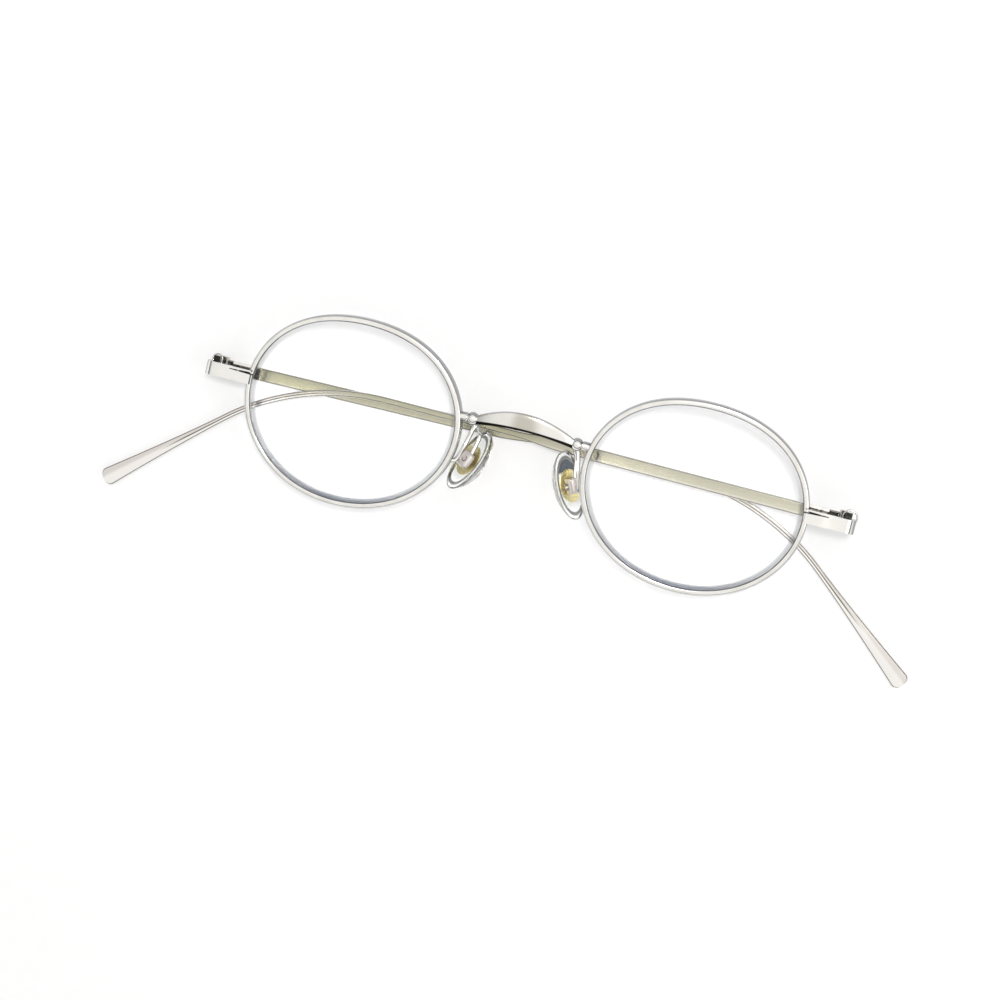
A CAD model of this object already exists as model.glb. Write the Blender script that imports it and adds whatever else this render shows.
import math

import bpy
import numpy as np
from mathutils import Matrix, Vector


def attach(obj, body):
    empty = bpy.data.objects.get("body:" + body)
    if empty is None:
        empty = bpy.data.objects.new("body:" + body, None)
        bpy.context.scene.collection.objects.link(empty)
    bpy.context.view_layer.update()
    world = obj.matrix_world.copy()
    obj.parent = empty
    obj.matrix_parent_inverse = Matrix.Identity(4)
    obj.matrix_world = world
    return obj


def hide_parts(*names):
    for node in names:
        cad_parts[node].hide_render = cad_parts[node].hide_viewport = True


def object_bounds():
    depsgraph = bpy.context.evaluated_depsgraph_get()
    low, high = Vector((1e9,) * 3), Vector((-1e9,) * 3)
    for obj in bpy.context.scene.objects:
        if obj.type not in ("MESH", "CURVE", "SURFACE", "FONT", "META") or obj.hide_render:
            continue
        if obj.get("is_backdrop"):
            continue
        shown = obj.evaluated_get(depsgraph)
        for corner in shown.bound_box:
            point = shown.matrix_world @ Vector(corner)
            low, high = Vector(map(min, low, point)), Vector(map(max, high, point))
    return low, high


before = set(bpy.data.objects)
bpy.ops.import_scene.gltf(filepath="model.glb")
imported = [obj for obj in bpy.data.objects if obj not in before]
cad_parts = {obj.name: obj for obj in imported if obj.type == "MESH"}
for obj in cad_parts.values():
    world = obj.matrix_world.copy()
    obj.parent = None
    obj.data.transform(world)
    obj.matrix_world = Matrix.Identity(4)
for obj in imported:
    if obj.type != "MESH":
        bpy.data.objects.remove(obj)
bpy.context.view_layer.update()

# TABLE, CAMERA AND LIGHT
# The glasses lie folded on a pale table, front face up. The front leans a little, because it rests on
# the folded right temple, and the lens plane is tilted against the temples.
LEFT, RIGHT = 1, -1
SIDES = {"left": LEFT, "right": RIGHT}


def turn(axis, degrees):
    """The right-hand rotation about x, y or z, as a matrix."""
    c, s = math.cos(math.radians(degrees)), math.sin(math.radians(degrees))
    return np.array({
        "x": [[1, 0, 0], [0, c, -s], [0, s, c]],
        "y": [[c, 0, s], [0, 1, 0], [-s, 0, c]],
        "z": [[c, -s, 0], [s, c, 0], [0, 0, 1]],
    }[axis])


# Where the middle of the front rests, in millimetres, how the glasses lean there and how the lenses tilt
seat = np.array([0, 4.00396, 11.85881])
LEAN = turn("y", -1.6)
FRONT = LEAN @ turn("x", 8)


def from_front(points, side=LEFT):
    """Millimetres in the frame of the lens plane, mirrored for the right side, to metres on the table."""
    return (seat + (points * [side, 1, 1]) @ FRONT.T) / 1000


def square_to(direction, roll):
    """Two unit vectors across a viewing direction, turned about it by roll degrees."""
    across = np.cross([0, 1, 0], direction)
    across /= np.linalg.norm(across)
    above = np.cross(direction, across)
    c, s = math.cos(math.radians(roll)), math.sin(math.radians(roll))
    return c * across + s * above, c * above - s * across


class Wire:
    """One socket in a shader. Arithmetic adds Math nodes, and node() adds any other node."""

    def __init__(self, tree, socket=None):
        self.tree, self.socket = tree, socket

    def node(self, kind, settings=(), inputs=(), output=0):
        made = self.tree.nodes.new("ShaderNode" + kind)
        for key, value in dict(settings).items():
            if key == "stops":
                ramp = made.color_ramp
                while len(ramp.elements) < len(value):
                    ramp.elements.new(0.5)
                for stop, (place, colour) in zip(ramp.elements, value):
                    stop.position, stop.color = place, (*colour, 1)
            else:
                setattr(made, key, value)
        for key, value in dict(inputs).items():
            if isinstance(value, Wire):
                self.tree.links.new(value.socket, made.inputs[key])
            else:
                made.inputs[key].default_value = value
        return Wire(self.tree, made.outputs[output])

    def math(self, operation, first, second):
        return self.node("Math", {"operation": operation}, {0: first, 1: second})

    def __add__(self, other): return self.math("ADD", self, other)
    def __radd__(self, other): return self.math("ADD", other, self)
    def __sub__(self, other): return self.math("SUBTRACT", self, other)
    def __rsub__(self, other): return self.math("SUBTRACT", other, self)
    def __mul__(self, other): return self.math("MULTIPLY", self, other)
    def __rmul__(self, other): return self.math("MULTIPLY", other, self)


def between(value, low, high, start=0.0, end=1.0):
    """Value's place from low to high, held there, on a scale from start to end."""
    return value.node("MapRange", {"clamp": True, "interpolation_type": "SMOOTHSTEP"}, {
        "Value": value, "From Min": low, "From Max": high, "To Min": start, "To Max": end})


def blended(share, first, second):
    """Colour first at share 0, colour second at share 1."""
    return share.node("Mix", {"data_type": "RGBA"}, {"Factor": share, "A": first, "B": second}, 2)


def own_place(wire):
    """The place on a piece, in metres, which moves with it."""
    return wire.node("TexCoord", output=3)


def rough_noise(wire, where, scale, detail=3.0):
    """Noise from 0 to 1, with scale bumps a metre."""
    return wire.node("TexNoise", {}, {"Vector": where, "Scale": scale, "Detail": detail})


def grain_bump(wire, strength, distance, height):
    """A normal that a height tilts, over a distance in metres."""
    return wire.node("Bump", {}, {"Strength": strength, "Distance": distance, "Height": height})


def new_finish(name, **constants):
    """A material with one Principled shader, whose constant sockets are set here. Returns it and a wire."""
    made = bpy.data.materials.new(name)
    made.use_nodes = True
    shader = made.node_tree.nodes["Principled BSDF"]
    for key, value in constants.items():
        shader.inputs[key.replace("_", " ")].default_value = value
    return made, Wire(made.node_tree)


def feed(made, **links):
    """Links wires to the sockets of a material's Principled shader."""
    shader = made.node_tree.nodes["Principled BSDF"]
    for key, value in links.items():
        made.node_tree.links.new(value.socket, shader.inputs[key.replace("_", " ")])


def mix_in(made, wire, share, other):
    """Mixes another shader into a material's Principled one."""
    lit = Wire(made.node_tree, made.node_tree.nodes["Principled BSDF"].outputs[0])
    mixed = wire.node("MixShader", {}, {0: share, 1: lit, 2: other})
    made.node_tree.links.new(mixed.socket, made.node_tree.nodes["Material Output"].inputs["Surface"])


def table_top():
    """Pale matt table: a flat disc of rings and spokes, far wider than the glasses. What a camera, mirror or
    lens sees of it glows a little, so that it goes white."""
    radius, spokes = np.array([0.05, 0.2, 0.6, 2.0]), 64
    angle = np.linspace(0, 2 * np.pi, spokes, endpoint=False)
    ring = np.stack([np.cos(angle), np.sin(angle), 0 * angle], 1)
    verts = np.concatenate([r * ring for r in radius]) - [0, 0, 2e-5]
    i, k = np.meshgrid(np.arange(len(radius) - 1), np.arange(spokes), indexing="ij")
    after = (k + 1) % spokes
    quads = np.stack([i * spokes + k, (i + 1) * spokes + k, (i + 1) * spokes + after, i * spokes + after], -1)
    mesh = bpy.data.meshes.new("table_top")
    mesh.from_pydata(verts.tolist(), [], [list(range(spokes))] + quads.reshape(-1, 4).tolist())
    table = bpy.data.objects.new("table_top", mesh)
    bpy.context.scene.collection.objects.link(table)
    made, wire = new_finish("pale_table", Roughness=0.6)
    speck = rough_noise(wire, own_place(wire), 400.0)
    feed(made, Base_Color=blended(between(speck, 0.3, 0.7), (0.93, 0.93, 0.935, 1), (0.95, 0.95, 0.95, 1)))
    seen = wire.node("LightPath", output="Is Camera Ray") + wire.node("LightPath", output="Is Glossy Ray")
    seen = seen + wire.node("LightPath", output="Is Transmission Ray")
    glow = wire.node("Emission", {}, {"Color": (1, 1, 1, 1), "Strength": 1.0})
    mix_in(made, wire, between(seen, 0, 1, 0, 0.35), glow)
    mesh.materials.append(made)
    table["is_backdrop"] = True


table_top()

# The photograph's camera: its angles to the lens plane, its distance in millimetres, its scale there, and
# the pixel where the middle of the front is seen
tilt, swing, roll = 13.06, 8.14, 12.21
camera_far, pixels_per_mm, photo_side, film = 451.0, 5.208, 1000, 36
middle_seen = np.array([518.2, 456.5])
sight = np.array([
    math.sin(math.radians(swing)) * math.cos(math.radians(tilt)),
    math.sin(math.radians(tilt)),
    math.cos(math.radians(swing)) * math.cos(math.radians(tilt)),
])
right_way, up_way = square_to(sight, roll)
camera = bpy.data.objects.new("camera", bpy.data.cameras.new("camera"))
camera.data.sensor_width = film
camera.data.lens = film * pixels_per_mm * camera_far / photo_side
camera.data.shift_x = 0.5 - middle_seen[0] / photo_side
camera.data.shift_y = middle_seen[1] / photo_side - 0.5
camera.data.clip_start, camera.data.clip_end = 0.01, 10
pose = np.eye(4)
pose[:3, :3] = FRONT @ np.stack([right_way, up_way, sight], 1)
pose[:3, 3] = from_front(camera_far * sight)
camera.matrix_world = pose.T.tolist()
bpy.context.scene.collection.objects.link(camera)
bpy.context.scene.camera = camera


def softbox(name, at, size, watts, colour=(1, 1, 1)):
    """A square area lamp that faces the glasses."""
    data = bpy.data.lights.new(name, "AREA")
    data.shape, data.size, data.energy, data.color = "SQUARE", size, watts, colour
    lamp = bpy.data.objects.new(name, data)
    at = np.array(at, float)
    facing = at / np.linalg.norm(at)
    across = np.cross([0, 1, 0.01], facing)
    across /= np.linalg.norm(across)
    place = np.eye(4)
    place[:3, :3] = np.stack([across, np.cross(facing, across), facing], 1)
    place[:3, 3] = at
    lamp.matrix_world = place.T.tolist()
    bpy.context.scene.collection.objects.link(lamp)


softbox("softbox_over", (0.14, 0.21, 0.98), 0.13, 3.6)
softbox("softbox_side", (0.8, -0.1, 0.6), 0.5, 0.8, (1, 0.98, 0.94))

# The room that the metal mirrors: white at the horizon, a dark band above it, then a pale ceiling
world = bpy.data.worlds.new("studio")
bpy.context.scene.world = world
world.use_nodes = True
sky = Wire(world.node_tree)
height = sky.node("SeparateXYZ", {}, {"Vector": sky.node("TexCoord", output=0)}, 2)
walls = sky.node("ValToRGB", {"stops": [
    (0.0, (1, 1, 1)), (0.10, (1, 1, 1)), (0.17, (0.09, 0.10, 0.12)), (0.36, (0.18, 0.19, 0.21)),
    (0.56, (0.82, 0.82, 0.81)), (0.94, (0.91, 0.90, 0.885)), (1.0, (0.88, 0.87, 0.855))]}, {0: height})
world.node_tree.links.new(walls.socket, world.node_tree.nodes["Background"].inputs["Color"])
bpy.context.scene.view_settings.view_transform = "Standard"


# RIMS
# Each eyewire is a rolled metal profile with a groove for the lens, bent to the lens shape and cut
# through at its closing block. It is plated and polished, brightest on its flat front face.
lens_w, lens_h, lens_x, wrap, base_r = 43.2, 36.6, 34.5, 3, 120
lens_shoulder, lens_square, lens_sweep = 0.007, 0.006, 0.008
rim_out, rim_lip, rim_depth, bevel_t, groove_gap = 0.7, 0.45, 2.0, 0.8, 0.04
crease = 35

# The height of the rim's cut on the hinge's barrel, its width, the barrel's middle and its turn outwards
split_y, rim_split = 0.2, 0.3
hinge_at = np.array([63.1, 2.6, -7.8])
RISE = {LEFT: 0.7, RIGHT: 0.35}


def lens_outline(angle, grow=0.0):
    """Ellipse that is fuller at its shoulders, as x, y: its radius times 1 plus small waves in the angle,
    then moved out by grow along its normal."""
    def edge(a):
        bend = 1 + lens_shoulder * np.sin(3 * a) - lens_square * np.cos(4 * a) - lens_sweep * np.sin(2 * a)
        r = bend / np.hypot(2 * np.cos(a) / lens_w, 2 * np.sin(a) / lens_h)
        return np.stack([r * np.cos(a), r * np.sin(a)], -1)

    step = edge(angle + 0.008) - edge(angle - 0.008)
    normal = np.stack([step[..., 1], -step[..., 0]], -1)
    return edge(angle) + np.asarray(grow)[..., None] * normal / np.linalg.norm(normal, axis=-1, keepdims=True)


def on_lens(flat, depth):
    """Puts x, y on a sphere that lies depth behind the front of the base curve, then to the lens plane."""
    z = np.sqrt((base_r - depth) ** 2 - (flat ** 2).sum(-1)) - base_r
    return np.array([lens_x, 0, 0]) + np.concatenate([flat, z[..., None]], -1) @ turn("y", wrap).T


def hinge_frame(side):
    """Matrix and origin of a hinge's frame on the table: x outwards, y up the barrel, z to the front."""
    flip = np.diag([side, 1, 1])
    return LEAN @ flip @ turn("z", -RISE[side]), seat + LEAN @ flip @ hinge_at


def measure(piece, name, values):
    """Stores one number a point on a piece, for its material."""
    attribute = piece.data.attributes.new(name, "FLOAT", "POINT")
    attribute.data.foreach_set("value", np.ascontiguousarray(values, np.float32).ravel())


def spots(piece):
    """The points of a piece, in millimetres on the table."""
    found = np.empty(3 * len(piece.data.vertices), np.float32)
    piece.data.vertices.foreach_get("co", found)
    return 1000 * found.reshape(-1, 3)


def measure_sides(piece):
    """Stores how far the surface turns away from the front or back of the glasses, from 0 to 1."""
    normals = np.empty(3 * len(piece.data.vertices), np.float32)
    piece.data.vertex_normals.foreach_get("vector", normals)
    facing = np.abs(normals.reshape(-1, 3) @ FRONT[:, 2])
    measure(piece, "turned", np.clip((0.92 - facing) / 0.45, 0, 1))


def stored(wire, name):
    """The number that a piece stores at each point under a name."""
    return wire.node("Attribute", {"attribute_name": name}, output=2)


def skin(name, rings, finish, body, stands_for=None, caps=True):
    """A closed skin over rings, an array (ring, point, 3) in metres: quads between neighbouring rings and
    one face on each end or, without caps, quads from the last ring to the first. The sign of the volume
    that it holds turns its faces outwards."""
    count, points = rings.shape[:2]
    verts = rings.reshape(-1, 3)
    i, k = np.meshgrid(np.arange(count if not caps else count - 1), np.arange(points), indexing="ij")
    near, far, after = i * points, (i + 1) % count * points, (k + 1) % points
    quads = np.stack([near + k, far + k, far + after, near + after], -1).reshape(-1, 4)
    a, b, c, d = (verts[quads[:, n]] for n in range(4))
    volume = (np.cross(a, b) * c).sum() + (np.cross(a, c) * d).sum()
    faces = quads.tolist()
    if caps:
        ends = [list(range(points)), list(range(len(verts) - points, len(verts)))[::-1]]
        for end in ends:
            fan = verts[end]
            volume += (np.cross(fan[:1], fan[1:-1]) * fan[2:]).sum()
        faces += ends
    if volume < 0:
        faces = [face[::-1] for face in faces]
    mesh = bpy.data.meshes.new(name)
    mesh.from_pydata(verts.tolist(), [], faces)
    mesh.shade_smooth()
    mesh.set_sharp_from_angle(angle=math.radians(crease))
    mesh.materials.append(finish)
    piece = bpy.data.objects.new(name, mesh)
    bpy.context.scene.collection.objects.link(piece)
    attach(piece, body)
    if stands_for:
        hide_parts(stands_for)
    measure_sides(piece)
    return piece


def rounded(corners, radii, steps=5):
    """A closed section through corners (n, 2), each one rounded by its own radius: an arc that touches
    both sides, sampled from the first side to the second."""
    corners, out = np.asarray(corners, float), []
    for n, radius in enumerate(radii):
        at, before, after = corners[n], corners[n - 1], corners[(n + 1) % len(corners)]
        u, v = (before - at) / np.linalg.norm(before - at), (after - at) / np.linalg.norm(after - at)
        if radius <= 0:
            out.append(at[None])
            continue
        half = math.acos(np.clip(u @ v, -1, 1)) / 2
        centre = at + (u + v) / np.linalg.norm(u + v) * radius / math.sin(half)
        s, e = at + u * radius / math.tan(half) - centre, at + v * radius / math.tan(half) - centre
        first, last = math.atan2(s[1], s[0]), math.atan2(e[1], e[0])
        sweep = (last - first + np.pi) % (2 * np.pi) - np.pi
        turnings = first + sweep * np.linspace(0, 1, steps + 1)
        out.append(centre + radius * np.stack([np.cos(turnings), np.sin(turnings)], 1))
    return np.concatenate(out)


def polished_plate():
    """Pale champagne plating: soft smudges change its gloss, fine scratches ripple it. The polishing wheel
    leaves the sides greyer than front and back, and can't reach the inner walls, which are dark and blue."""
    made, wire = new_finish("polished_plate", Metallic=1.0)
    place = own_place(wire)
    smudge = between(rough_noise(wire, place, 260.0, 4.0), 0.35, 0.7)
    grain = rough_noise(wire, place, 5200.0, 2.0)
    wall, turned = stored(wire, "wall"), stored(wire, "turned")
    face = blended(smudge, (0.97, 0.955, 0.92, 1), (0.90, 0.88, 0.84, 1))
    sides = blended(between(turned, 0.35, 1.0), face, (0.30, 0.30, 0.31, 1))
    feed(made,
         Base_Color=blended(wall, sides, (0.16, 0.18, 0.24, 1)),
         Roughness=0.10 + 0.08 * smudge + 0.04 * grain + 0.2 * wall,
         Normal=grain_bump(wire, 0.05, 2e-5, grain))
    return made


plate = polished_plate()
groove_half = bevel_t / 2 + groove_gap
rim_section = rounded(
    [(rim_out, 0), (rim_out, rim_depth), (-rim_lip, rim_depth), (-rim_lip, rim_depth / 2 + groove_half),
     (groove_gap, rim_depth / 2), (-rim_lip, rim_depth / 2 - groove_half), (-rim_lip, 0)],
    [0.42, 0.3, 0.18, 0, 0, 0, 0.36])
grow, depth = rim_section.T
inner_wall = np.clip((0.1 - grow) / 0.5, 0, 1) * np.clip((depth - 0.3) / 0.2, 0, 1)

for word, side in SIDES.items():
    # The cut starts and ends where the wire meets the block's height, found along the outline near it
    hinge_turn, origin = hinge_frame(side)
    trial = np.radians(np.linspace(-20, 40, 241))
    wire_near_block = from_front(on_lens(lens_outline(trial, 0.1), rim_depth / 2), side) * 1000
    heights = ((wire_near_block - origin) @ hinge_turn)[:, 1]
    first, last = (np.interp(split_y + s * rim_split / 2, heights, trial) for s in (1, -1))
    angle = np.linspace(first, last + 2 * np.pi, 241)[:, None]
    rings = on_lens(lens_outline(angle + 0 * grow, grow), depth)
    rim = skin(f"eyewire_{word}", from_front(rings, side), plate, "front", f"rim_{word}")
    measure(rim, "wall", np.broadcast_to(inner_wall, rings.shape[:2]))


# LENSES
# Two meniscus lenses of clear optical plastic with a bevelled edge that sits in the rim's groove.
# They are polished on both faces. Their edge and its chamfer at the back are ground, grey and frosted.
lens_t = 1.7


def clear_lens():
    """Clear lens: almost no tint, with faint smears that change its gloss, and shadows that let the light
    through."""
    made, wire = new_finish("clear_lens", Transmission_Weight=1.0, IOR=1.5, Coat_IOR=1.6)
    smear = between(rough_noise(wire, own_place(wire), 90.0), 0.45, 0.75)
    ground = stored(wire, "ground")
    feed(made,
         Base_Color=blended(ground, (0.998, 0.999, 0.999, 1), (0.045, 0.053, 0.075, 1)),
         Roughness=0.004 + 0.012 * smear + 0.3 * ground)
    let_through = wire.node("BsdfTransparent", {}, {"Color": (0.97, 0.975, 0.98, 1)})
    mix_in(made, wire, wire.node("LightPath", output="Is Shadow Ray"), let_through)
    return made


lens_glass = clear_lens()

# One row for each ring of the lens: its share of the outline, its growth, its depth and how ground it is
inset = -rim_lip - groove_gap
bevel = [(inset, 0.2), (inset, 0.6), (0, 0.95), (0, 1.05), (inset, 1.4), (inset, 1.8)]
share = np.concatenate([[0.01], np.linspace(0.08, 0.92, 12), [0.945, 0.965, 0.985, 1]])
chamfer = np.interp(share, [0.946, 0.968], [0, 1])
profile = np.array(
    [(s, inset, (rim_depth - lens_t) / 2, 0) for s in share]
    + [(1, out, depth, 1) for out, depth in bevel]
    + [(s, inset, (rim_depth + lens_t) / 2, g) for s, g in zip(share[::-1], chamfer[::-1])])
angle = np.linspace(0, 2 * np.pi, 192, endpoint=False)

for word, side in SIDES.items():
    around = angle[None] + 0 * profile[:, :1]
    flat = profile[:, :1, None] * lens_outline(around, profile[:, 1:2] + 0 * around)
    rings = from_front(on_lens(flat, profile[:, 2:3] + 0 * around), side)
    lens = skin(f"meniscus_{word}", rings, lens_glass, "front", f"lens_{word}")
    measure(lens, "ground", profile[:, 3:] * (0.55 - 0.45 * np.sin(angle)))


# BRIDGE
# A pressed band, arched upwards and bowed forwards, tall in the middle and narrow at both ends. Each end
# is brazed to a ball lug, whose stub is brazed to the rim.
bridge_half, bridge_low, bridge_drop, bridge_tall, bridge_end = 10.0, 5.1, 1.5, 3.45, 1.75
bridge_t, bridge_bulge, bridge_soft = 1.2, 2.4, 0.55
lug_d, lug_stub_r, lug_y, lug_z = 2.5, 0.9, 4.7, -1.9


def pressed_band():
    """Plating on the bowed band: a grey-pink middle where it is pressed hardest, brighter ends, a soft
    brushed grain across it, and a dark unpolished hem along its lower edge."""
    made, wire = new_finish("pressed_band", Metallic=1.0)
    place = own_place(wire)
    cloud = between(rough_noise(wire, place, 190.0), 0.3, 0.7)
    crowded = wire.node("VectorMath", {"operation": "MULTIPLY"}, {0: place, 1: (9.0, 1.0, 1.0)})
    grain = rough_noise(wire, crowded, 700.0)
    middle, turned = stored(wire, "middle"), stored(wire, "turned")
    hem = between(stored(wire, "hem"), 0.42, 0.56)
    bright = blended(cloud, (0.98, 0.96, 0.92, 1), (0.92, 0.895, 0.85, 1))
    pressed = blended(between(middle + 0.15 * cloud, 0.1, 1.0), bright, (0.63, 0.60, 0.53, 1))
    sides = blended(between(turned, 0.45, 1.0), pressed, (0.40, 0.39, 0.37, 1))
    feed(made,
         Base_Color=blended(hem, sides, (0.02, 0.018, 0.014, 1)),
         Roughness=0.14 + 0.10 * grain + 0.06 * cloud,
         Normal=grain_bump(wire, 0.06, 2e-5, grain))
    return made


# The section is an ellipse whose sine and cosine are raised to a power below 1, which squares it. It is
# carried along a level arc through the lugs and the bulge.
x = np.linspace(-bridge_half - 0.35, bridge_half + 0.35, 81)[:, None]
share = (x / bridge_half) ** 2
tall = bridge_tall + (bridge_end - bridge_tall) * share
low = bridge_low - bridge_drop * share
arch = (bridge_half ** 2 + bridge_bulge ** 2) / (2 * bridge_bulge)
turns = np.linspace(0, 2 * np.pi, 56, endpoint=False)[None]
high = np.sign(np.sin(turns)) * np.abs(np.sin(turns)) ** bridge_soft
out = np.sign(np.cos(turns)) * np.abs(np.cos(turns)) ** bridge_soft
radius = arch - bridge_t / 2 + bridge_t / 2 * out
swing_at = np.arcsin(x / (arch - bridge_t / 2))
rings = np.stack([
    radius * np.sin(swing_at), low + tall / 2 + tall / 2 * high,
    lug_z + bridge_bulge - arch + bridge_t / 2 + radius * np.cos(swing_at)], -1)
band = skin("bridge_band", from_front(rings), pressed_band(), "front", "bridge")
measure(band, "middle", np.exp(-(x / 2.6) ** 2) + 0 * high)
measure(band, "hem", np.clip(1 + 0.25 * share - tall / 2 * (1 + high), 0, 1))

# Each lug is turned: a ball profile, then a stub, swept once round the axis that points at the rim
lug_at = np.array([bridge_half + 0.45, lug_y, lug_z])
ball = np.radians(np.linspace(-89, 52, 24))
lathe = np.concatenate([
    np.stack([lug_d / 2 * np.sin(ball), lug_d / 2 * np.cos(ball)], 1),
    [(1.2, lug_stub_r + 0.02), (1.35, lug_stub_r), (2.5, lug_stub_r)]])
turns = np.linspace(0, 2 * np.pi, 40, endpoint=False)[None]
for word, side in SIDES.items():
    along, wide = lathe[:, :1], lathe[:, 1:]
    rings = lug_at + np.stack([along + 0 * turns, wide * np.cos(turns), wide * np.sin(turns)], -1)
    skin(f"lug_ball_{word}", from_front(rings, side), plate, "front", f"bridge_lug_{word}")


# ENDPIECES
# A flat strip runs outwards from the front of the rim, turns back round a soft corner and ends at the
# hinge. It is bent from sheet, sawn open where the rim is cut, brazed to the closing block and polished.
import bmesh

saw_dark, bend_max, flat_ratio = 0.29, 38, 8


def eased(name, node, finish, body, ease, segments=2):
    """A copy of a solid with its points merged and its flat faces joined, whose sharp edges are rounded. A
    face that is far larger than its neighbour stays flat."""
    form = bmesh.new()
    form.from_mesh(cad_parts[node].data)
    bmesh.ops.remove_doubles(form, verts=form.verts, dist=2e-6)
    bmesh.ops.dissolve_limit(form, angle_limit=0.01, verts=form.verts, edges=form.edges)
    edges = [e for e in form.edges if e.is_manifold and e.calc_face_angle(0) > 0.6]
    bmesh.ops.bevel(
        form, geom=edges, offset=ease, segments=segments, profile=0.5, affect="EDGES", clamp_overlap=True)
    for edge in form.edges:
        areas = sorted(f.calc_area() for f in edge.link_faces)
        alike = len(areas) == 2 and areas[1] < flat_ratio * areas[0]
        edge.smooth = alike and edge.calc_face_angle(0) < math.radians(bend_max)
    for f in form.faces:
        f.smooth = True
    mesh = bpy.data.meshes.new(name)
    form.to_mesh(mesh)
    form.free()
    mesh.materials.clear()
    mesh.materials.append(finish)
    piece = bpy.data.objects.new(name, mesh)
    bpy.context.scene.collection.objects.link(piece)
    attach(piece, body)
    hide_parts(node)
    measure_sides(piece)
    return piece


def up_hinge(piece, side):
    """How high the points of a piece lie along a hinge's barrel, in millimetres."""
    hinge_turn, origin = hinge_frame(side)
    return ((spots(piece) - origin) @ hinge_turn)[:, 1]


for word, side in SIDES.items():
    strip = eased(f"end_strip_{word}", f"endpiece_{word}", plate, "front", 1.2e-4, 3)
    high = up_hinge(strip, side)
    away = np.empty(len(high), np.float32)
    strip.data.attributes["turned"].data.foreach_get("value", away)
    measure(strip, "wall", (np.abs(high - split_y) < saw_dark) * (away > 0.8))


# CLOSING BLOCKS, SCREWS AND HINGES
# Turned and milled steel parts: the two halves of each closing block with their screw, and the hinge of
# two outer knuckles on the endpiece, one knuckle with its leaf on the temple, and a slotted screw.
def turned_steel():
    """Fine turned steel: thin rings of tool marks, a darker oily film in patches, and worn bright spots."""
    made, wire = new_finish("turned_steel", Metallic=1.0)
    place = own_place(wire)
    film = between(rough_noise(wire, place, 700.0), 0.4, 0.65)
    marks = wire.node("TexWave", {"bands_direction": "Y"}, {
        "Vector": place, "Scale": 3800.0, "Distortion": 1.5})
    face = blended(film, (0.80, 0.785, 0.755, 1), (0.62, 0.61, 0.59, 1))
    feed(made,
         Base_Color=blended(between(stored(wire, "turned"), 0.1, 1.0), face, (0.26, 0.26, 0.26, 1)),
         Roughness=0.16 + 0.14 * film + 0.05 * marks,
         Normal=grain_bump(wire, 0.08, 1e-5, marks))
    return made


def oiled_barrel():
    """Steel under old oil: black where the barrel faces front or back, worn to bare metal where it turns."""
    made, wire = new_finish("oiled_barrel", Metallic=1.0)
    film = between(rough_noise(wire, own_place(wire), 800.0), 0.4, 0.65)
    worn = blended(film, (0.80, 0.78, 0.75, 1), (0.64, 0.62, 0.60, 1))
    feed(made,
         Base_Color=blended(between(stored(wire, "turned"), 0.05, 0.55), (0.035, 0.035, 0.03, 1), worn),
         Roughness=0.2 + 0.15 * film)
    return made


def filed_block():
    """Plated block, bright along its top, where it is polished, and dark below, where the file leaves it."""
    made, wire = new_finish("filed_block", Metallic=1.0)
    film = between(rough_noise(wire, own_place(wire), 900.0), 0.4, 0.65)
    dark = blended(film, (0.05, 0.045, 0.04, 1), (0.14, 0.13, 0.12, 1))
    feed(made,
         Base_Color=blended(between(stored(wire, "below"), 0.38, 0.52), (0.90, 0.88, 0.83, 1), dark),
         Roughness=0.15 + 0.15 * film)
    return made


steel, oiled, filed = turned_steel(), oiled_barrel(), filed_block()

# The worn rim round each barrel's front, a thin ring: its centre in the hinge's frame, and its radius
barrel_eyes = {LEFT: ([0.9, 0.9, 1.3], 1.4), RIGHT: ([0.85, 1.15, 1.3], 1.0)}
eye_t = 0.3
round_it = np.radians(np.linspace(0, 360, 48, endpoint=False))[:, None]
thick = np.radians(np.arange(0, 360, 30))[None]
for word, side in SIDES.items():
    upper = eased(f"block_upper_{word}", f"closing_block_upper_{word}", filed, "front", 8e-5)
    high = up_hinge(upper, side)
    measure(upper, "below", high.max() - high)
    lower = eased(f"block_lower_{word}", f"closing_block_lower_{word}", filed, "front", 8e-5)
    measure(lower, "below", np.ones(len(lower.data.vertices)))
    eased(f"block_screw_{word}", f"rim_screw_{word}", steel, "front", 4e-5)
    eased(f"knuckles_{word}", f"hinge_front_{word}", oiled, "front", 6e-5)
    eased(f"pivot_{word}", f"hinge_screw_{word}", oiled, "front", 4e-5)
    eased(f"leaf_{word}", f"hinge_rear_{word}", oiled, f"temple_{word}_arm", 6e-5)
    centre, eye_r = barrel_eyes[side]
    out = eye_r + eye_t / 2 * np.cos(thick)
    ring = centre + np.stack([
        out * np.cos(round_it), out * np.sin(round_it), eye_t / 2 * np.sin(thick) + 0 * round_it], -1)
    hinge_turn, origin = hinge_frame(side)
    skin(f"barrel_eye_{word}", (origin + ring @ hinge_turn.T) / 1000, steel, "front", caps=False)


# TEMPLES
# Each temple is one strip of plated metal, satin on its inner face. It narrows before the ear bend and is
# pressed out to a flat paddle behind it. It is screwed to the front by its hinge.
temple_h, neck_h, tip_h, strip_t = 2.55, 1.25, 3.58, 1.0
barrel_in, butt, tip_dish, tip_round = 1.3, 0.075, 0.08, 1.2
shaft_len, narrow_len, taper_len = 92.2, 26.0, 10.0
bend_r, bend_angle, drop_len = 48.0, 40.5, 27.97
notch_at = 0.049
FOLD = {LEFT: 90.5, RIGHT: 88.4}


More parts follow.
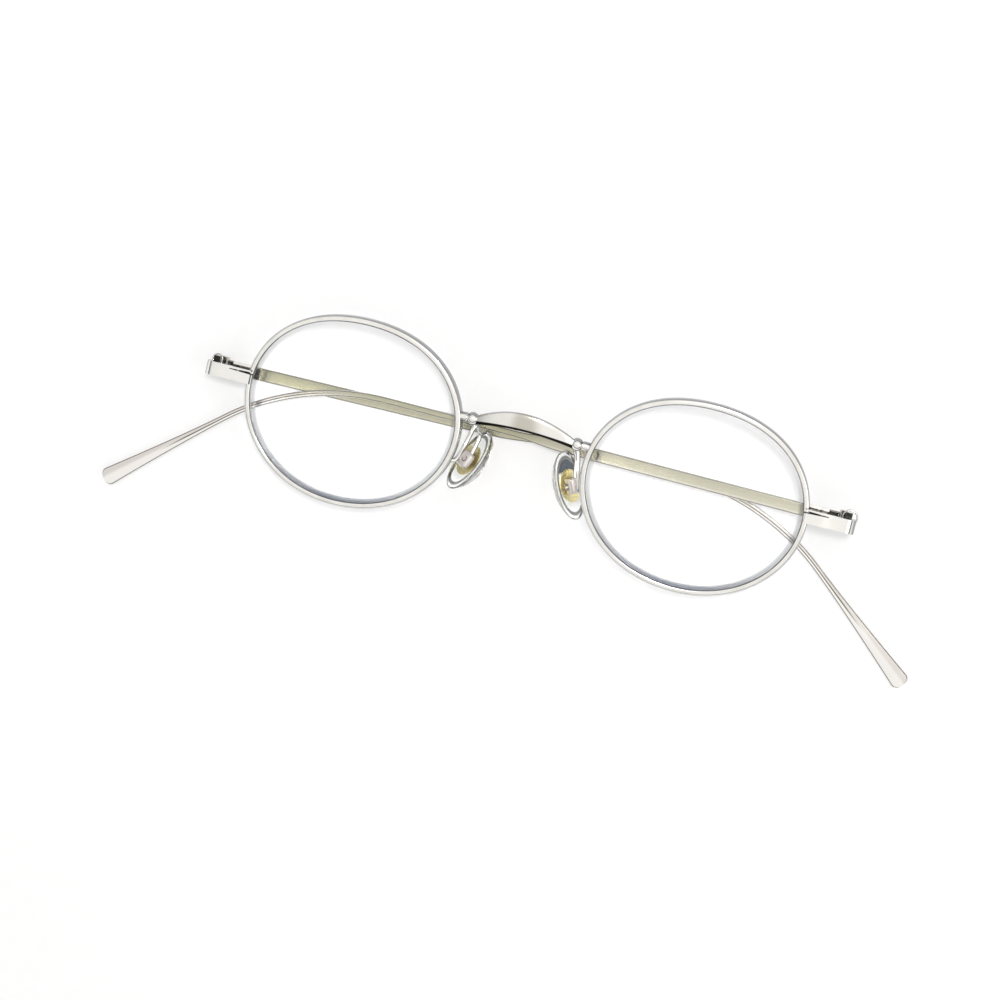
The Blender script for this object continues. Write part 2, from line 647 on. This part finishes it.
def satin_strip():
    """Satin plating, olive on the inner face: it is darkest under the upper edge and turns cream along the
    lower one. Fine lines run along the strip. The drop is brighter and has a dark line pressed along its
    middle, and one strip has a short curved mark across it."""
    made, wire = new_finish("satin_strip", Metallic=1.0)
    along, level, across, inner, marked, off = (
        stored(wire, name) for name in ("along", "level", "across", "inner", "marked", "off"))
    lines = wire.node("CombineXYZ", {}, {0: along * 40.0, 1: level * 9000.0, 2: inner * 30.0})
    brushed = rough_noise(wire, lines, 1.0, 4.0)
    cloud = between(rough_noise(wire, own_place(wire), 120.0), 0.35, 0.7)
    olive = blended(between(across, -0.4, 0.9), (0.59, 0.57, 0.45, 1), (0.48, 0.465, 0.36, 1))
    olive = blended(between(across, -0.60, -0.40, 1.0, 0.0), olive, (0.70, 0.67, 0.575, 1))
    olive = blended(0.25 * cloud, olive, (0.56, 0.545, 0.45, 1))
    dusk = 1.0 - marked * between(along, 0.058, 0.066, 1.0, 0.0)
    olive = blended(0.4 * dusk, olive, (0.34, 0.335, 0.18, 1))
    pale = blended(between(across, -0.1, 0.5), (0.97, 0.95, 0.92, 1), (0.76, 0.72, 0.69, 1))
    tinted = blended(between(along, 0.094, 0.118), olive, pale)
    hems = between(off, 0.14, 0.30, 1.0, 0.0)
    ridge = between(across * across, 0.0, 0.05, 1.0, 0.0) * between(along, 0.098, 0.112)
    ridge = ridge * between(along, 0.134, 0.142, 1.0, 0.0)
    tinted = blended(0.8 * hems + 0.9 * ridge, tinted, (0.07, 0.065, 0.045, 1))
    curve = along - level * level * 220.0
    notch = between(curve, notch_at - 3e-4, notch_at - 1e-4) * marked
    notch = notch * between(curve, notch_at + 1e-4, notch_at + 3e-4, 1.0, 0.0)
    cut_in = inner * notch * between(level * level, 5e-7, 8e-7, 1.0, 0.0)
    feed(made,
         Base_Color=blended(cut_in, blended(inner, pale, tinted), (0.03, 0.03, 0.025, 1)),
         Roughness=0.10 + 0.03 * inner + 0.06 * brushed + 0.03 * cloud,
         Normal=grain_bump(wire, 0.12, 1.5e-5, brushed - 3.0 * cut_in))
    return made


satin = satin_strip()

# The strip's middle line runs straight, then round the ear bend, then straight down the drop. Here s is the
# length along it from the hinge, run and fall are the place it reaches, and arc is how far it has turned.
bend = math.radians(bend_angle)
ear = shaft_len + bend_r * bend
s = np.concatenate([
    np.linspace(butt, shaft_len - narrow_len - taper_len, 50),
    shaft_len - narrow_len - taper_len * np.linspace(0.95, 0, 20),
    shaft_len - narrow_len * np.linspace(0.9, 0, 10),
    shaft_len + np.linspace(0, bend_r * bend, 33)[1:],
    ear + np.linspace(0.5, drop_len - tip_round, 50),
    ear + drop_len - tip_round + tip_round * np.sin(np.radians(np.linspace(8, 87, 12)))])
arc = np.clip((s - shaft_len) / bend_r, 0, bend)
past = np.clip(s - ear, 0, None)
run = np.minimum(s, shaft_len) + bend_r * np.sin(arc) + past * math.cos(bend)
fall = -bend_r * (1 - np.cos(arc)) - past * math.sin(bend)


def ease_in_out(v):
    """Smooth step: 3 v squared minus 2 v cubed, from 0 to 1."""
    v = np.clip(v, 0, 1)
    return v * v * (3 - 2 * v)


drawn = ease_in_out((s - shaft_len + narrow_len + taper_len) / taper_len)
spread = np.clip(past / (drop_len - tip_round), 0, 1) ** 1.5
ending = np.sqrt(np.clip(1 - ((past - drop_len + tip_round) / tip_round).clip(0) ** 2, 0, 1))
height = (temple_h + (neck_h - temple_h) * drawn + (tip_h - neck_h) * spread) / 2
height -= tip_round * (1 - ending)

# The section is a rectangle with four rounded corners: each point has the corner's centre, up and deep from
# -1 to 1, and its way from there. Its width and the corners' radius follow the height of the strip.
quarter = np.radians(np.linspace(0, 90, 7))
flat = np.array([0.97, 0.6, 0.2, -0.2, -0.6, -0.97])
corner = [np.stack([a + 0 * quarter, b + 0 * quarter, np.cos(quarter + go), np.sin(quarter + go)], 1)
          for a, b, go in ((1, 1, 0), (-1, 1, np.pi / 2), (-1, -1, np.pi), (1, -1, 1.5 * np.pi))]
face = np.stack([flat, 1 + 0 * flat, 0 * flat, 1 + 0 * flat], 1)
section = np.concatenate([corner[0], face, corner[1], corner[2], -face, corner[3]])
core_up, core_deep, up_way, deep_way = section.T
edge = np.minimum(0.26, 0.6 * height)[:, None]
level = core_up * (height[:, None] - edge) + up_way * edge
deep = barrel_in + strip_t / 2 + core_deep * (strip_t / 2 - edge) + deep_way * edge
across = level / height[:, None]
deep = np.where(deep_way < 0, deep + tip_dish * spread[:, None] * across ** 2, deep)
rings = np.stack([
    deep, fall[:, None] + level * np.cos(arc)[:, None], -(run[:, None] + level * np.sin(arc)[:, None])], -1)

for word, side in SIDES.items():
    hinge_turn, origin = hinge_frame(side)
    placed = (origin + rings @ turn("y", FOLD[side]).T @ hinge_turn.T) / 1000
    temple = skin(f"temple_strip_{word}", placed, satin, f"temple_{word}_arm", f"temple_{word}")
    measure(temple, "along", np.broadcast_to(s[:, None] / 1000, rings.shape[:2]))
    measure(temple, "level", level / 1000)
    measure(temple, "across", across)
    measure(temple, "off", height[:, None] - np.abs(level))
    measure(temple, "inner", (deep_way < -0.6) * 1.0 + 0 * level)
    measure(temple, "marked", np.full(rings.shape[:2], float(side == LEFT)))


# PAD ARMS AND BOXES
# A thin plated wire is brazed behind each rim, looped up beside the lug and bent down to the pad box, a
# small clevis that a slotted screw crosses.
arm_d, box_len, box_back = 0.9, 3.0, 1.15

# The middle of a pad and its turn, in the frame of the lens plane
pad_at = np.array([10.9, -4.2, -5.2])
PAD = turn("y", -143) @ turn("z", -18) @ turn("x", 18)


def tube(path, d, points=16):
    """Rings of one diameter along a path (n, 3). Each ring lies square to the path, and its start point is
    carried over from the ring before it by the shortest turn."""
    ahead = np.gradient(path, axis=0)
    ahead /= np.linalg.norm(ahead, axis=1, keepdims=True)
    side_way = np.cross(ahead[0], [0.3, 0.2, 1])
    sides = []
    for way in ahead:
        side_way = side_way - way * (side_way @ way)
        side_way /= np.linalg.norm(side_way)
        sides.append(side_way)
    sides = np.array(sides)[:, None]
    other = np.cross(ahead, sides[:, 0])[:, None]
    turns = np.linspace(0, 2 * np.pi, points, endpoint=False)[None, :, None]
    return path[:, None] + d / 2 * (np.cos(turns) * sides + np.sin(turns) * other)


def through(points, per_leg=10):
    """Smooth curve through points: a cubic between each two, with slopes from their neighbours."""
    p = np.concatenate([2 * points[:1] - points[1:2], points, 2 * points[-1:] - points[-2:-1]])
    v = np.linspace(0, 1, per_leg, endpoint=False)[:, None]
    legs = [
        b + ((c - a) * v + (2 * a - 5 * b + 4 * c - d) * v ** 2 + (3 * b - a - 3 * c + d) * v ** 3) / 2
        for a, b, c, d in zip(p, p[1:], p[2:], p[3:])]
    return np.concatenate(legs + [points[-1:]])


foot_angle = np.radians(192)
foot_flat = lens_outline(foot_angle, (rim_out - rim_lip) / 2)
foot = on_lens(foot_flat, rim_depth) + [0, 0, arm_d / 2]
seat_end = pad_at + PAD @ np.array([0, box_len / 2, -(box_back + arm_d) / 2])
bends = foot + np.array([
    [0, 0, 0], [-1.2, 0.2, -0.8], [-2.1, 3, -2.4], [-2.9, 6.3, -3.2], [-3.2, 6.9, -3.4], [-3.6, 6.6, -3.6]])


def clevis_plate():
    """Pinkish plating on the pad box, clouded by handling, with a round mark punched in its outer face: a
    dark ring, open on one side."""
    made, wire = new_finish("clevis_plate", Metallic=0.4)
    cloud = between(rough_noise(wire, own_place(wire), 900.0), 0.35, 0.7)
    turned, x, y, outer = (stored(wire, name) for name in ("turned", "mark_x", "mark_y", "outer"))
    away = wire.math("SQRT", x * x + y * y, 0.0)
    ring = between(away, 0.40, 0.48) * between(away, 0.60, 0.70, 1.0, 0.0) * between(x - y, -0.45, -0.3)
    face = blended(cloud, (0.88, 0.82, 0.79, 1), (0.78, 0.72, 0.69, 1))
    sides = blended(between(turned, 0.1, 1.0), face, (0.50, 0.46, 0.40, 1))
    feed(made,
         Base_Color=blended(ring * outer, sides, (0.20, 0.16, 0.15, 1)),
         Roughness=0.14 + 0.1 * cloud,
         Normal=grain_bump(wire, 0.2, 5e-5, 1.0 - ring * outer))
    return made


# The box's outer block is a rounded outline that grows and shrinks with its height. Wear has bent the two
# arms differently, so the block and the lower end of each arm slip sideways by their own amounts.
clevis_finish = clevis_plate()
box_half_w = 1.32
corners = [(box_half_w * x, box_len / 2 * y) for x, y in ((1, 1), (1, -1), (-1, -1), (-1, 1))]
wide, long = rounded(corners, [0.6] * 4).T
box_rows = [(0.02, -2.0), (0.3, -2.0), (0.6, -1.98), (0.82, -1.93), (0.93, -1.84), (0.99, -1.7), (1.0, -1.55),
            (1.0, -1.0), (0.96, -0.9), (0.02, -0.88)]
block = np.array([np.stack([k * wide, k * long, z + 0 * wide], 1) for k, z in box_rows])
slips = {LEFT: [-0.4, 0.1, 0], RIGHT: [1.3, 0.5, 0]}
for word, side in SIDES.items():
    slip = PAD @ slips[side]
    down = [seat_end + slip + way for way in ([-0.7, 3.6, -1.0], [0, 0, 0], PAD @ [0, -0.9, 0])]
    arm_path = through(np.concatenate([bends, down]))
    rings = from_front(tube(arm_path, arm_d), side)
    skin(f"arm_wire_{word}", rings, plate, "front", f"pad_arm_{word}")
    eased(f"clevis_{word}", f"pad_box_{word}", clevis_finish, "front", 1.6e-4, 3)
    placed = from_front(pad_at + slip + block @ PAD.T, side)
    outer_block = skin(f"clevis_face_{word}", placed, clevis_finish, "front")
    measure(outer_block, "mark_x", block[..., 0])
    measure(outer_block, "mark_y", block[..., 1])
    measure(outer_block, "outer", (block[..., 2] < -1.8) * 1.0)
    eased(f"clevis_screw_{word}", f"pad_screw_{word}", steel, "front", 5e-5)


# NOSE PADS
# Each pad is an oval of clear soft plastic, crowned on the nose side, moulded round a gold-plated core
# whose tab sits in the pad box. The pad rocks on the box's screw.
pad_len, pad_w, pad_t, pad_edge, pad_stand, core_t = 13.6, 5.8, 2.5, 0.7, 1.05, 0.4


def clear_pad():
    """Clear soft plastic with a faint warm tint and tiny flow lines. A moulded step draws a dark line inside
    the border of the flat side, the upright edge is smoky, and dust dims the upper end."""
    made, wire = new_finish("clear_pad", Transmission_Weight=1.0, IOR=1.44)
    place = own_place(wire)
    ring, end, dust = (stored(wire, name) for name in ("ring", "end", "dust"))
    haze = between(rough_noise(wire, place, 500.0), 0.35, 0.7)
    flow = wire.node("TexWave", {}, {"Vector": place, "Scale": 260.0, "Distortion": 6.0, "Detail": 2.0})
    clear = blended(haze, (0.985, 0.99, 0.985, 1), (0.93, 0.94, 0.93, 1))
    dim = between(end, 0.34, 0.44) * between(ring, 0.76, 0.84, 1.0, 0.0) * dust
    dimmed = blended(dim, clear, (0.012, 0.016, 0.022, 1))
    step = between(ring, 0.75, 0.79) * between(ring, 0.86, 0.90, 1.0, 0.0)
    upright = between(ring, 1.5, 2.0)
    edged = blended(step, dimmed, (0.06, 0.06, 0.055, 1))
    feed(made,
         Base_Color=blended(upright, edged, (0.42, 0.42, 0.47, 1)),
         Roughness=0.03 + 0.06 * haze + 0.2 * upright,
         Normal=grain_bump(wire, 0.1, 3e-5, flow - 2.0 * step))
    let_through = wire.node("BsdfTransparent", {}, {"Color": (0.84, 0.85, 0.85, 1)})
    mix_in(made, wire, wire.node("LightPath", output="Is Shadow Ray"), let_through)
    return made


def gold_core():
    """Gold plate on stamped brass, a little brushed and darker where the plastic holds it."""
    made, wire = new_finish("gold_core", Metallic=1.0)
    place = own_place(wire)
    patch = between(rough_noise(wire, place, 420.0), 0.35, 0.7)
    grain = rough_noise(wire, place, 6000.0, 2.0)
    feed(made,
         Base_Color=blended(patch, (0.90, 0.81, 0.46, 1), (0.78, 0.68, 0.36, 1)),
         Roughness=0.2 + 0.12 * patch,
         Normal=grain_bump(wire, 0.1, 2e-5, grain))
    return made


# Each ring is an ellipse, a share of the pad's outline, at its height over the flat side. None stands for
# the crown, a part of a sphere. The third number draws the moulded border.
soft_clear, gold = clear_pad(), gold_core()
crown = pad_t - pad_edge
crown_r = (pad_len ** 2 / 4 + crown ** 2) / (2 * crown)
turns = np.linspace(0, 2 * np.pi, 96, endpoint=False)[None]
bottom = pad_stand + core_t / 4
scale = np.concatenate([[0.01], np.linspace(0.1, 0.96, 22)])
rows = [(k, 0.0, k) for k in scale]
rows += [(0.985, 0.05, 1.2), (1.0, 0.18, 2.0), (1.0, 0.4, 2.0), (0.992, 0.6, 2.0), (0.975, 0.74, 1.2)]
rows += [(k, None, 0.0) for k in scale[::-1] * 0.99]
rings = []
for k, z, _ in rows:
    px, py = k * pad_w / 2 * np.cos(turns[0]), k * pad_len / 2 * np.sin(turns[0])
    crowned = pad_t - crown_r + np.sqrt(crown_r ** 2 - px ** 2 - py ** 2)
    pz = crowned if z is None else np.minimum(z, crowned) + 0 * px
    rings.append(np.stack([px, py, bottom + pz], -1))
pad_rings = pad_at + np.array(rings) @ PAD.T
border = np.array([mark for _, _, mark in rows])[:, None] + 0 * turns
for word, side in SIDES.items():
    placed = from_front(pad_rings, side)
    pad = skin(f"pad_{word}", placed, soft_clear, f"pad_{word}", f"nose_pad_{word}")
    measure(pad, "ring", border)
    measure(pad, "end", np.sin(turns) * np.minimum(border, 1))
    measure(pad, "dust", np.full(border.shape, 1.0 if side == LEFT else 0.25))
    eased(f"core_plate_{word}", f"pad_core_{word}", gold, f"pad_{word}", 6e-5)

low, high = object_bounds()
